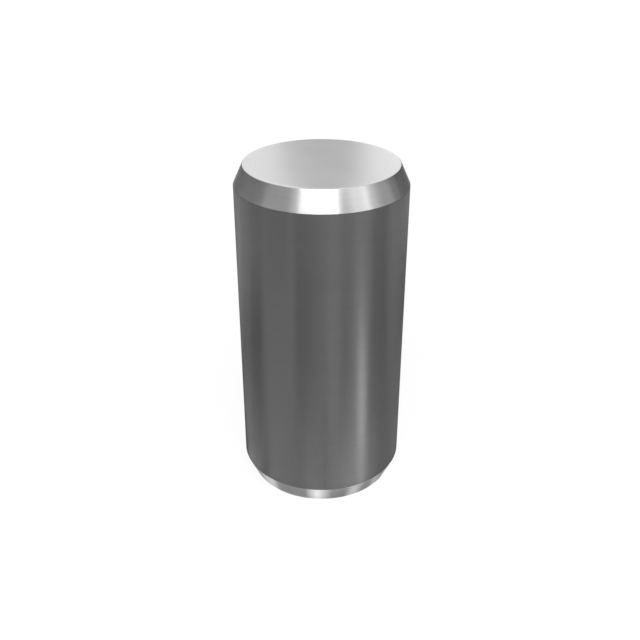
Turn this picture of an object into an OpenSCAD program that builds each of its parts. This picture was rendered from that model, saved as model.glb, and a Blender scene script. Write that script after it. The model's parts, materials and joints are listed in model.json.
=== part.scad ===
// Dowel pin: one solid round steel pin with a ground shank and the same turned chamfer at both ends.
// It stands on its lower end face. The origin is the centre of that face, and the axis is +Z.
// Sizes are in millimetres and angles in degrees.

/* [Pin] */
// Diameter of the ground shank
pin_diameter = 10; // [6:0.5:20]
// Length over both end faces
pin_length = 20.4; // [10:0.1:60]

/* [Ends] */
// Length of each chamfer, measured along the axis
chamfer_length = 1.18; // [0.5:0.02:2.5]
// Angle between each chamfer and the axis
chamfer_angle = 24.5; // [10:0.5:40]
// Radius of the small round that tumbling leaves on each turned edge
edge_radius = 0.05; // [0.02:0.01:0.2]

/* [Hidden] */

// Sides of a full turn, where the pin is drawn as a mesh
$fn = 128;
// Straight steps that follow each edge round
round_steps = 4;

shank_r = pin_diameter / 2;
// Radius at which the chamfer would meet the end face if the edge between them were sharp
face_r = shank_r - chamfer_length * tan(chamfer_angle);

// Headings of the section's outward normals, from the lower end face round to the upper one
lower_face = -90;
lower_chamfer = -chamfer_angle;
shank = 0;
upper_chamfer = chamfer_angle;
upper_face = 90;

// Unit vector at a heading, in the plane of the section
function towards(heading) = [cos(heading), sin(heading)];

// Centre of the round at a corner where the outward normal turns from one heading to another
function round_centre(corner, from, to) =
    corner - edge_radius * (towards(from) + towards(to)) / (1 + towards(from) * towards(to));

// Points of that round, in order up the section
function edge_round(corner, from, to) = [
    for (step = [0 : round_steps])
        round_centre(corner, from, to) + edge_radius * towards(from + (to - from) * step / round_steps)
];

// Half of the pin's section, from the axis outwards
module half_section() {
    polygon(concat(
        [[0, 0]],
        edge_round([face_r, 0], lower_face, lower_chamfer),
        edge_round([shank_r, chamfer_length], lower_chamfer, shank),
        edge_round([shank_r, pin_length - chamfer_length], shank, upper_chamfer),
        edge_round([face_r, pin_length], upper_chamfer, upper_face),
        [[0, pin_length]]
    ));
}

// The pin, turned about its axis in one piece
module dowel_pin() {
    color("darkgray")
        rotate_extrude()
            half_section();
}

dowel_pin();
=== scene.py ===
import json
from itertools import count
from math import cos, pi, radians, sin, tan

import bpy
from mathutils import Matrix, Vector


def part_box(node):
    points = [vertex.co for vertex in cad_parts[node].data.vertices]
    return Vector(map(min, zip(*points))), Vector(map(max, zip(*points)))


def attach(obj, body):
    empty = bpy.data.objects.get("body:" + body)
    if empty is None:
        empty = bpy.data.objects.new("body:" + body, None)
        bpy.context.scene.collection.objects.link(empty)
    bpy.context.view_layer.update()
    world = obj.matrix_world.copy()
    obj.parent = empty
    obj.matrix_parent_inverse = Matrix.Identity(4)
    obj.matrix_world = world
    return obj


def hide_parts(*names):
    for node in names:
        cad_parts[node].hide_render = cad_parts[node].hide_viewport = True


MM = 0.001

# Camera, from the photograph's outline of the pin: it looks along +Y, down at the pin
CAMERA_DISTANCE = 45.53 * MM
CAMERA_HEIGHT = 35.11 * MM
CAMERA_PITCH = radians(28.53)
CAMERA_YAW = radians(-0.114)
CAMERA_LENS = 47.39
CAMERA_SENSOR = 36.0
CAMERA_NEAREST = 1 * MM
CAMERA_FURTHEST = 10.0

# Pin sizes that the frame doesn't give
CHAMFER_ANGLE = radians(24.5)
EDGE_RADIUS = 0.05 * MM

# How finely the pin is turned: sides of a full turn, and steps along each stretch of its section
SIDES = 288
EDGE_STEPS = 6
SHANK_RINGS = 40
CHAMFER_RINGS = 6
FACE_RINGS = 24

# Material slots of the mesh, one for each finish
FACED, TURNED, WORN_AND_GLINT, GROUND = range(4)

# Base colour of each finish, a grey: the ground shank is the darkest, and its dark grey is painted shade
FACED_GREY = 0.3065
TURNED_GREY = 0.37
# The edge rounds' lighter grey: partly polish from wear, partly a painted highlight along the rims
WORN_AND_GLINT_GREY = 0.42
SHADED_GROUND_GREY = 0.115

# Tool marks and other unevenness in a metre. Names with ALONG count along the marks, and the rest across
GRINDING = 9000
GRINDING_ALONG = 160
GRINDING_BANDS = GRINDING / 8
GRINDING_BANDS_ALONG = GRINDING_ALONG / 4
TURNING = 11000
TURNING_ALONG = 90
FACING = 9000
# Streaks on the chamfers: partly uneven polish, partly painted reflection
STREAKS = 380
STREAKS_ALONG = STREAKS / 6
CLOUDS = 350

# How far fine marks round the pin draw out its highlights, and the turn that draws them out along it
BRUSHED = 0.95
BRUSHED_TURN = 0.25

# Values that a noise texture seldom goes past
NOISE_LOW = 0.3
NOISE_HIGH = 0.7

# Level of the world's light. The camera and the steel see it as white
WORLD_LEVEL = 0.3

# Floor: half its width, its own grey, and the white that it shows besides, which rises to 1 from the
# first radius to the second
FLOOR_HALF = 2.0
FLOOR_GREY = 0.2
FLOOR_GLOW = 0.845
LIT_RADIUS = 0.1
WHITE_RADIUS = 0.35

# Lamps: their distance from the pin, and the height on it that they face
LAMP_DISTANCE = 0.3
LAMP_AIM = 10 * MM

# Cards round the pin: radius and height of their lower and upper edges, the degrees that a flat stretch
# of a card covers, and the fewest stretches that it has
CARD_FOOT = (90 * MM, 0)
CARD_HEAD = (90 * MM, 80 * MM)
CARD_STEP = 7.5
CARD_FEWEST = 6

# What lies on the floor is in layers this far apart. A ring of painted shade is in the first, and then
# the glints and the bands have one each
LAYER = 0.002 * MM
FIRST_GLINT_LAYER = 2

# Ring of painted shade under the lower chamfer, which it mirrors: radius and height of its inner and
# outer edges
SHADE_RING_FOOT = (4.52 * MM, LAYER)
SHADE_RING_HEAD = (5.6 * MM, LAYER)

# A ray from the camera leaves the shank this many times as far round as the azimuth where it meets it
MIRRORED_TURN = 2.11
# Distance in millimetres from the shank at which a band has come to its far azimuths
BAND_REACH = 50
# Part of a band's level at its four azimuths
BAND_PROFILE = (0, 1, 1, 0)
# Light and shade on the floor that the shank mirrors. Each band has the azimuths on the shank where it
# starts, is full, stops being full and ends, first for its near end and then for its far one, or None
# where they don't change. After them comes its level at each distance in millimetres from the shank:
# above 0 it is light, below 0 shade.
BANDS = [
    ("left_end", (-100, -90, -76.5, -66), (-100, -90, -79, -69),
     {1: -0.85, 9: -0.8, 18: -0.63, 60: -0.66}),
    ("left_near", (-76, -64, -57, -45), None,
     {1: 0.68, 5: 0.27, 18: 0}),
    ("left_dim", (-84, -74, -60, -50), None,
     {11: 0, 16: -0.2, 20: -0.2, 28: 0}),
    ("left_far", (-76, -72, -71, -70), (-73, -64, -58, -25),
     {25: 0, 45: 0.7, 60: 0.9}),
    ("middle_far", (-48, -43, -36, -27), None,
     {38: 0, 47: 0.24, 60: 0.36}),
    ("left_shade", (-58, -53, -45, -41), (-54, -50, -44, -40),
     {4: 0, 18: -0.46, 25: -0.48, 34: -0.08, 45: 0}),
    ("left_foot", (-41, -39, -34, -12), None,
     {1: 0.4, 4: 0.37, 6: 0.29, 13: 0.13, 24: 0}),
    ("middle_shade", (-20, -15, -11, 4), (-20, -15, -9, 5),
     {6: 0, 13: -0.2, 22: -0.48, 60: -0.46}),
    ("middle_foot", (-17, -10, -5, 3), None,
     {1: 0.3, 4: 0.28, 9: 0.08, 13: 0}),
    ("thin_light", (3, 5, 10, 13), None,
     {2: 0.1, 10: 0.15, 21: 0.14, 30: 0.03, 40: 0}),
    ("thin_shade", (11, 14, 17, 21), None,
     {9: 0, 17: -0.24, 22: -0.24, 45: 0}),
    ("strip", (24, 28, 30, 34), (19.5, 24.7, 26.3, 31.5),
     {1: 0.7, 5: 0.95, 9: 2.25, 17: 2.3, 22: 0.95, 29: 0}),
    ("strip_side", (16, 21.5, 24, 27), None,
     {1: 0.15, 5: 0.28, 13: 0.24, 18: 0, 28: -0.14, 45: 0}),
    ("right_foot", (-2, 15, 28, 45), None,
     {1: 0.75, 3: 0.7, 10: 0.1, 16: 0}),
    ("right_shade", (36, 39, 60, 68), (30.5, 33.5, 34, 39),
     {5: 0, 28: -0.38, 36: -0.34, 45: -0.12, 60: 0}),
    ("right_far", (46, 52, 55, 58), (43, 51, 61, 74),
     {26: 0, 36: 0.18, 45: 0.65, 60: 1.0}),
    ("right_dim", (56, 66, 72, 80), (56, 68, 74, 82),
     {11: 0, 19: -0.22, 30: -0.28, 50: 0}),
    ("right_end", (60, 72, 90, 100), (66, 76, 90, 100),
     {1: -0.6, 9: -0.53, 28: -0.62, 60: -0.55}),
]
# Light on the floor that the lower chamfer mirrors: the same four azimuths, and its level under the edge
# of the lower face and furthest from it
GLINTS = [
    ("front_glint", (-12, -4, -2.4, 8), 1.35, 3.3),
    ("left_glint", (-58, -44, -39, -34), 0.85, 2.1),
    ("beside_front", (-52, -38, -14, -6), 0.14, 0.17),
    ("right_glint", (17.5, 24, 27, 33.5), 0.95, 1.5),
    ("small_glint", (41, 45, 47, 49.5), 0.85, 1.05),
    ("end_glint", (52, 61, 75, 85), 1.3, 1.35),
]
# A glint's length in millimetres, and how far inside the shank's radius it starts
GLINT_REACH = 1.2
GLINT_START = 0.57 * MM


def make_camera():
    camera = bpy.data.objects.new("camera", bpy.data.cameras.new("camera"))
    camera.data.sensor_width = CAMERA_SENSOR
    camera.data.lens = CAMERA_LENS
    camera.data.clip_start = CAMERA_NEAREST
    camera.data.clip_end = CAMERA_FURTHEST
    camera.location = (0, -CAMERA_DISTANCE, CAMERA_HEIGHT)
    camera.rotation_euler = (radians(90) - CAMERA_PITCH, 0, -CAMERA_YAW)
    bpy.context.scene.collection.objects.link(camera)
    bpy.context.scene.camera = camera


def points_to(a, b, steps):
    """Points after a, up to b, in equal steps."""
    return [a.lerp(b, step / steps) for step in range(1, steps + 1)]


def towards(heading):
    return Vector((cos(heading), sin(heading)))


def edge_round(corner, start, end):
    """Points of the small round at a corner, as its outward normal turns from start to end."""
    n1, n2 = towards(start), towards(end)
    centre = corner - EDGE_RADIUS * (n1 + n2) / (1 + n1.dot(n2))
    turn = (end - start) / EDGE_STEPS
    return [centre + EDGE_RADIUS * towards(start + turn * step) for step in range(EDGE_STEPS + 1)]


def half_section(shank_r, length, chamfer):
    """(radius, height) points from the lower face's middle to the upper one's, and each step's finish."""
    face_r = shank_r - chamfer * tan(CHAMFER_ANGLE)
    quarter = radians(90)
    corners = [
        edge_round(Vector((face_r, 0)), -quarter, -CHAMFER_ANGLE),
        edge_round(Vector((shank_r, chamfer)), -CHAMFER_ANGLE, 0),
        edge_round(Vector((shank_r, length - chamfer)), 0, CHAMFER_ANGLE),
        edge_round(Vector((face_r, length)), CHAMFER_ANGLE, quarter),
    ]
    stretches = [
        (corners[0][0], FACE_RINGS, FACED),
        (corners[1][0], CHAMFER_RINGS, TURNED),
        (corners[2][0], SHANK_RINGS, GROUND),
        (corners[3][0], CHAMFER_RINGS, TURNED),
        (Vector((0, length)), FACE_RINGS, FACED),
    ]
    corner_finishes = (WORN_AND_GLINT, GROUND, GROUND, WORN_AND_GLINT)
    points, finishes = [Vector((0, 0))], []
    for number, (end, steps, finish) in enumerate(stretches):
        points += points_to(points[-1], end, steps)
        finishes += [finish] * steps
        if number < len(corners):
            points += corners[number][1:]
            finishes += [corner_finishes[number]] * EDGE_STEPS
    return points, finishes


def turned_mesh(name, points, finishes):
    """The section turned about Z: quads all round, and a fan of triangles at each end face's middle."""
    rings = points[1:-1]
    vertices = [(0, 0, points[0].y)]
    for ring in rings:
        for side in range(SIDES):
            angle = 2 * pi * side / SIDES
            vertices.append((ring.x * cos(angle), ring.x * sin(angle), ring.y))
    vertices.append((0, 0, points[-1].y))
    top = len(vertices) - 1
    faces, slots = [], []
    for side in range(SIDES):
        after = (side + 1) % SIDES
        faces.append((0, 1 + after, 1 + side))
        slots.append(finishes[0])
        for ring in range(len(rings) - 1):
            low, high = 1 + ring * SIDES, 1 + (ring + 1) * SIDES
            faces.append((low + side, low + after, high + after, high + side))
            slots.append(finishes[ring + 1])
        last = 1 + (len(rings) - 1) * SIDES
        faces.append((last + side, last + after, top))
        slots.append(finishes[-1])
    mesh = bpy.data.meshes.new(name)
    mesh.from_pydata(vertices, [], faces)
    mesh.polygons.foreach_set("material_index", slots)
    mesh.polygons.foreach_set("use_smooth", [True] * len(faces))
    mesh.validate()
    return mesh


def new_material(name):
    material = bpy.data.materials.new(name)
    material.use_nodes = True
    return material


def math_value(tree, operation, first, second):
    """A Math node's result. Its two values are sockets or numbers."""
    node = tree.nodes.new("ShaderNodeMath")
    node.operation = operation
    for number, value in enumerate((first, second)):
        if isinstance(value, bpy.types.NodeSocket):
            tree.links.new(value, node.inputs[number])
        else:
            node.inputs[number].default_value = value
    return node.outputs["Value"]


def mapped(tree, value, start, end, low, high):
    """A level that goes from low to high as the value goes from start to end."""
    node = tree.nodes.new("ShaderNodeMapRange")
    node.inputs["From Min"].default_value = start
    node.inputs["From Max"].default_value = end
    node.inputs["To Min"].default_value = low
    node.inputs["To Max"].default_value = high
    tree.links.new(value, node.inputs["Value"])
    return node.outputs["Result"]


def vector_length(tree, vector):
    node = tree.nodes.new("ShaderNodeVectorMath")
    node.operation = "LENGTH"
    tree.links.new(vector, node.inputs[0])
    return node.outputs["Value"]


class Steel:
    """A bare steel finish, with short calls for the nodes that its tool marks need."""

    def __init__(self, name, edge):
        """Edge is the part of its light that the finish keeps at grazing angles."""
        self.material = new_material(name)
        self.tree = self.material.node_tree
        self.shader = self.tree.nodes["Principled BSDF"]
        self.shader.inputs["Metallic"].default_value = 1.0
        self.shader.inputs["Specular Tint"].default_value = (edge, edge, edge, 1)

    def brush(self):
        """Draw the highlights out along the pin, as fine marks round it do."""
        self.shader.inputs["Anisotropic"].default_value = BRUSHED
        self.shader.inputs["Anisotropic Rotation"].default_value = BRUSHED_TURN
        tangent = self.tree.nodes.new("ShaderNodeTangent")
        tangent.direction_type = "RADIAL"
        tangent.axis = "Z"
        self.tree.links.new(tangent.outputs["Tangent"], self.shader.inputs["Tangent"])

    def place(self, sideways, upwards):
        """The point on the pin, scaled sideways from the pin's axis and upwards along it."""
        point = self.tree.nodes.new("ShaderNodeTexCoord")
        scaled = self.tree.nodes.new("ShaderNodeMapping")
        scaled.inputs["Scale"].default_value = (sideways, sideways, upwards)
        self.tree.links.new(point.outputs["Object"], scaled.inputs["Vector"])
        return scaled.outputs["Vector"]

    def noise(self, sideways, upwards, detail=2.0):
        texture = self.tree.nodes.new("ShaderNodeTexNoise")
        texture.inputs["Scale"].default_value = 1.0
        texture.inputs["Detail"].default_value = detail
        self.tree.links.new(self.place(sideways, upwards), texture.inputs["Vector"])
        return texture.outputs["Fac"]

    def rings(self, number, detail):
        """Uneven rings round the pin's axis."""
        texture = self.tree.nodes.new("ShaderNodeTexNoise")
        texture.noise_dimensions = "1D"
        texture.inputs["Scale"].default_value = 1.0
        texture.inputs["Detail"].default_value = detail
        distance = vector_length(self.tree, self.place(number, 0))
        self.tree.links.new(distance, texture.inputs["W"])
        return texture.outputs["Fac"]

    def between(self, value, low, high):
        """A noise value as a level from low to high."""
        return mapped(self.tree, value, NOISE_LOW, NOISE_HIGH, low, high)

    def around(self, value, middle, part):
        """A noise value as a level that goes a part of the middle one below and above it."""
        return self.between(value, middle * (1 - part), middle * (1 + part))

    def colour(self, first, second):
        self.drive("Base Color", math_value(self.tree, "MULTIPLY", first, second))

    def drive(self, socket, value):
        self.tree.links.new(value, self.shader.inputs[socket])

    def bump(self, value, depth):
        """Tool marks of a depth in metres."""
        marks = self.tree.nodes.new("ShaderNodeBump")
        marks.inputs["Strength"].default_value = 1.0
        marks.inputs["Distance"].default_value = depth
        self.tree.links.new(value, marks.inputs["Height"])
        self.drive("Normal", marks.outputs["Normal"])


def ground_steel():
    """The shank: fine grinding lines round it, in bands that are a little lighter and darker. Its dark
    grey and dim grazing edges are painted shade.
    """
    # A low edge tint: painted shade along the shank's sides at grazing angles
    steel = Steel("ground_steel", edge=0.6)
    steel.brush()
    lines = steel.noise(GRINDING_ALONG, GRINDING, detail=4)
    bands = steel.noise(GRINDING_BANDS_ALONG, GRINDING_BANDS)
    clouds = steel.noise(CLOUDS, CLOUDS)
    # The shank's dark base grey is painted shade
    steel.colour(steel.around(lines, SHADED_GROUND_GREY, part=0.03), steel.around(bands, 1, part=0.015))
    steel.drive("Roughness", steel.between(clouds, low=0.235, high=0.265))
    steel.bump(lines, depth=0.25e-6)
    return steel.material


def turned_steel():
    """The chamfers: turning lines, and streaks across that are partly where the tool rubbed or cut clean
    and partly painted reflection.
    """
    steel = Steel("turned_steel", edge=0.7)
    steel.brush()
    lines = steel.noise(TURNING_ALONG, TURNING, detail=3)
    streaks = steel.noise(STREAKS, STREAKS_ALONG)
    # The streaks are partly uneven polish and partly painted reflection
    steel.colour(steel.around(lines, TURNED_GREY, part=0.035), steel.around(streaks, 1, part=0.15))
    steel.drive("Roughness", steel.between(lines, low=0.28, high=0.32))
    steel.bump(lines, depth=0.3e-6)
    return steel.material


def worn_and_glint_steel():
    """The edge rounds of the end faces: tumbled smoother than what they join, and brighter, partly from
    that polish and partly as a painted highlight along the rims.
    """
    steel = Steel("worn_and_glint_steel", edge=0.9)
    clouds = steel.noise(CLOUDS, CLOUDS)
    # A lighter grey than the chamfers and faces: partly polished wear, partly a painted highlight
    steel.drive("Base Color", steel.around(clouds, WORN_AND_GLINT_GREY, part=0.06))
    steel.drive("Roughness", steel.between(clouds, low=0.20, high=0.26))
    return steel.material


def faced_steel():
    """The end faces: fine facing rings round the middle."""
    steel = Steel("faced_steel", edge=0.9)
    rings = steel.rings(FACING, detail=3)
    clouds = steel.noise(CLOUDS, CLOUDS)
    steel.colour(steel.around(rings, FACED_GREY, part=0.04), steel.around(clouds, 1, part=0.02))
    steel.drive("Roughness", steel.between(clouds, low=0.205, high=0.235))
    steel.bump(rings, depth=0.1e-6)
    return steel.material


def make_pin(record):
    """The pin, in its node's place and at its sizes. Gives the shank's radius."""
    low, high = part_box("dowel_pin")
    shank = next(m for m in record["mounts"] if m["name"] == "shank")
    length = high.z - low.z
    wall = shank["dims"]["length_mm"] * MM
    shank_r = shank["dims"]["r_mm"] * MM
    chamfer = (length - wall) / 2 - EDGE_RADIUS * tan(CHAMFER_ANGLE / 2)
    mesh = turned_mesh("pin", *half_section(shank_r, length, chamfer))
    for material in (faced_steel(), turned_steel(), worn_and_glint_steel(), ground_steel()):
        mesh.materials.append(material)
    pin = bpy.data.objects.new("pin", mesh)
    bpy.context.scene.collection.objects.link(pin)
    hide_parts("dowel_pin")
    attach(pin, "root")
    return shank_r


def seen_directly(tree):
    """1 for a camera, glossy or transmission ray, and 0 for any other."""
    path = tree.nodes.new("ShaderNodeLightPath")
    value = path.outputs["Is Camera Ray"]
    for kind in ("Is Glossy Ray", "Is Transmission Ray"):
        value = math_value(tree, "MAXIMUM", value, path.outputs[kind])
    return value


def make_world():
    world = bpy.data.worlds.new("studio")
    bpy.context.scene.world = world
    world.use_nodes = True
    tree = world.node_tree
    background = tree.nodes["Background"]
    background.inputs["Color"].default_value = (1, 1, 1, 1)
    level = mapped(tree, seen_directly(tree), start=0, end=1, low=WORLD_LEVEL, high=1)
    tree.links.new(level, background.inputs["Strength"])


def floor_material():
    """Pale and matt, and plain white further away, where the world meets it."""
    material = new_material("floor")
    tree = material.node_tree
    shader = tree.nodes["Principled BSDF"]
    shader.inputs["Base Color"].default_value = (FLOOR_GREY, FLOOR_GREY, FLOOR_GREY, 1)
    shader.inputs["Roughness"].default_value = 1.0
    shader.inputs["Specular IOR Level"].default_value = 0.0
    shader.inputs["Emission Color"].default_value = (1, 1, 1, 1)
    point = tree.nodes.new("ShaderNodeTexCoord")
    distance = vector_length(tree, point.outputs["Object"])
    white = mapped(tree, distance, start=LIT_RADIUS, end=WHITE_RADIUS, low=FLOOR_GLOW, high=1)
    glow = math_value(tree, "MULTIPLY", seen_directly(tree), white)
    tree.links.new(glow, shader.inputs["Emission Strength"])
    return material


def make_floor():
    """A pale floor that takes the pin's shadow."""
    mesh = bpy.data.meshes.new("floor")
    half = FLOOR_HALF
    corners = [(-half, -half, 0), (half, -half, 0), (half, half, 0), (-half, half, 0)]
    mesh.from_pydata(corners, [], [(0, 1, 2, 3)])
    mesh.materials.append(floor_material())
    floor = bpy.data.objects.new("floor", mesh)
    bpy.context.scene.collection.objects.link(floor)


def outward(azimuth, elevation):
    """Direction away from the pin. Azimuth 0 is on the camera's side, and 90 is to the right of it."""
    a, e = radians(azimuth), radians(elevation)
    return Vector((sin(a) * cos(e), -cos(a) * cos(e), sin(e)))


def softbox(name, azimuth, elevation, width, height, radiance):
    """An area lamp facing the pin, with its width and height as angles."""
    direction = outward(azimuth, elevation)
    lamp = bpy.data.lights.new(name, "AREA")
    lamp.shape = "RECTANGLE"
    lamp.size = 2 * LAMP_DISTANCE * tan(radians(width / 2))
    lamp.size_y = 2 * LAMP_DISTANCE * tan(radians(height / 2))
    lamp.energy = radiance * pi * lamp.size * lamp.size_y
    box = bpy.data.objects.new(name, lamp)
    box.location = Vector((0, 0, LAMP_AIM)) + direction * LAMP_DISTANCE
    box.rotation_mode = "QUATERNION"
    box.rotation_quaternion = direction.to_track_quat("Z", "Y")
    box.visible_camera = False
    bpy.context.scene.collection.objects.link(box)


def mirrored_only(name, vertices, faces, material):
    """A piece of the studio that shows in the steel alone."""
    mesh = bpy.data.meshes.new(name)
    mesh.from_pydata(vertices, [], faces)
    mesh.materials.append(material)
    piece = bpy.data.objects.new(name, mesh)
    bpy.context.scene.collection.objects.link(piece)
    piece.visible_camera = False
    piece.visible_diffuse = False
    piece.visible_shadow = False
    return piece


def card(name, start, end, level, foot=CARD_FOOT, head=CARD_HEAD):
    """A glowing grey card round the pin, between two azimuths: a painted reflection. Foot and head are
    each a radius and a height.
    """
    steps = max(CARD_FEWEST, round(abs(end - start) / CARD_STEP))
    vertices = []
    for step in range(steps + 1):
        across = outward(start + (end - start) * step / steps, 0)
        for radius, height in (foot, head):
            vertices.append((across.x * radius, across.y * radius, height))
    faces = [(2 * s, 2 * s + 2, 2 * s + 3, 2 * s + 1) for s in range(steps)]
    material = new_material(name)
    shader = material.node_tree.nodes["Principled BSDF"]
    shader.inputs["Base Color"].default_value = (0, 0, 0, 1)
    shader.inputs["Specular IOR Level"].default_value = 0.0
    shader.inputs["Emission Color"].default_value = (1, 1, 1, 1)
    shader.inputs["Emission Strength"].default_value = level
    mirrored_only(name, vertices, faces, material)


def band_material(name):
    """A level above 0 adds light, and one below 0 takes away part of what is under the band."""
    material = new_material(name)
    tree = material.node_tree
    tree.nodes.remove(tree.nodes["Principled BSDF"])
    level = tree.nodes.new("ShaderNodeAttribute")
    level.attribute_name = "level"
    added = math_value(tree, "MAXIMUM", level.outputs["Fac"], 0)
    taken = math_value(tree, "MINIMUM", level.outputs["Fac"], 0)
    left = math_value(tree, "ADD", taken, 1)
    light = tree.nodes.new("ShaderNodeEmission")
    tree.links.new(added, light.inputs["Strength"])
    clear = tree.nodes.new("ShaderNodeBsdfTransparent")
    tree.links.new(left, clear.inputs["Color"])
    both = tree.nodes.new("ShaderNodeAddShader")
    tree.links.new(light.outputs["Emission"], both.inputs[0])
    tree.links.new(clear.outputs["BSDF"], both.inputs[1])
    tree.links.new(both.outputs["Shader"], tree.nodes["Material Output"].inputs["Surface"])
    return material


def floor_band(layer, name, near, far, levels, foot):
    """A soft-edged band of light or shade that leads out over the floor from the radius foot."""
    vertices, values = [], []
    for distance, level in levels.items():
        for first, last, share in zip(near, far or near, BAND_PROFILE):
            azimuth = first + (last - first) * distance / BAND_REACH
            place = outward(azimuth, 0) * foot + outward(MIRRORED_TURN * azimuth, 0) * distance * MM
            vertices.append((place.x, place.y, layer * LAYER))
            values.append(level * share)
    columns = len(BAND_PROFILE)
    faces = []
    for row in range(len(levels) - 1):
        for column in range(columns - 1):
            corner = columns * row + column
            faces.append((corner, corner + 1, corner + columns + 1, corner + columns))
    band = mirrored_only(name, vertices, faces, band_material(name))
    attribute = band.data.attributes.new("level", "FLOAT", "POINT")
    attribute.data.foreach_set("value", values)


def make_lamps():
    softbox("front", azimuth=-3.7, elevation=42, width=45.6, height=38, radiance=3.8)
    softbox("front_left", azimuth=-33, elevation=28, width=13, height=40, radiance=0.32)
    softbox("right", azimuth=47, elevation=26, width=56, height=50, radiance=0.43)
    softbox("right_core", azimuth=53.5, elevation=26, width=26, height=50, radiance=0.76)
    softbox("right_streak", azimuth=60.5, elevation=26, width=5, height=50, radiance=1.0)
    softbox("back_left", azimuth=-163, elevation=22, width=26, height=36, radiance=0.95)
    softbox("back_right", azimuth=162.9, elevation=22, width=26, height=36, radiance=1.17)
    softbox("back_high", azimuth=-177.5, elevation=31, width=6, height=14, radiance=0.95)
    softbox("overhead", azimuth=180, elevation=74, width=34, height=24, radiance=0.9)


def make_cards():
    # Glowing cards that show only in the steel: painted reflections of lighter and darker surroundings
    card("left_grey", start=-41, end=-79.5, level=0.64)
    card("left_middle", start=-79.5, end=-130, level=0.355)
    card("left_dark", start=-130, end=-160, level=0.28)
    card("right_grey", start=80, end=101, level=0.76)
    card("right_middle", start=101, end=116, level=0.42)
    card("right_dark", start=116, end=165, level=0.22)
    # A dim ring that the lower chamfer mirrors: painted shade under its overhang
    card("contact_shade_ring", start=-180, end=180, level=0.55, foot=SHADE_RING_FOOT, head=SHADE_RING_HEAD)


def make_bands(shank_r):
    layers = count(FIRST_GLINT_LAYER)
    for name, azimuths, near_level, far_level in GLINTS:
        levels = {0: near_level, GLINT_REACH: far_level}
        floor_band(next(layers), name, azimuths, None, levels, foot=shank_r - GLINT_START)
    for band in BANDS:
        floor_band(next(layers), *band, foot=shank_r)


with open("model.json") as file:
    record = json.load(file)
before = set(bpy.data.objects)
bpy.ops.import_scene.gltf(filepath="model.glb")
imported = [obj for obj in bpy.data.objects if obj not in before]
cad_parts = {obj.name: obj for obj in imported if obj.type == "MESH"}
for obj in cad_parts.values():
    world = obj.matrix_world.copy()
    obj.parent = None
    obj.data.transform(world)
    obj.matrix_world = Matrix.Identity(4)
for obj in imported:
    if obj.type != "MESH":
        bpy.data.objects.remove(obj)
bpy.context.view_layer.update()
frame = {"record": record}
make_camera()
shank_radius = make_pin(frame["record"])
make_floor()
make_world()
make_lamps()
make_cards()
make_bands(shank_radius)
bpy.context.scene.view_settings.view_transform = "Standard"
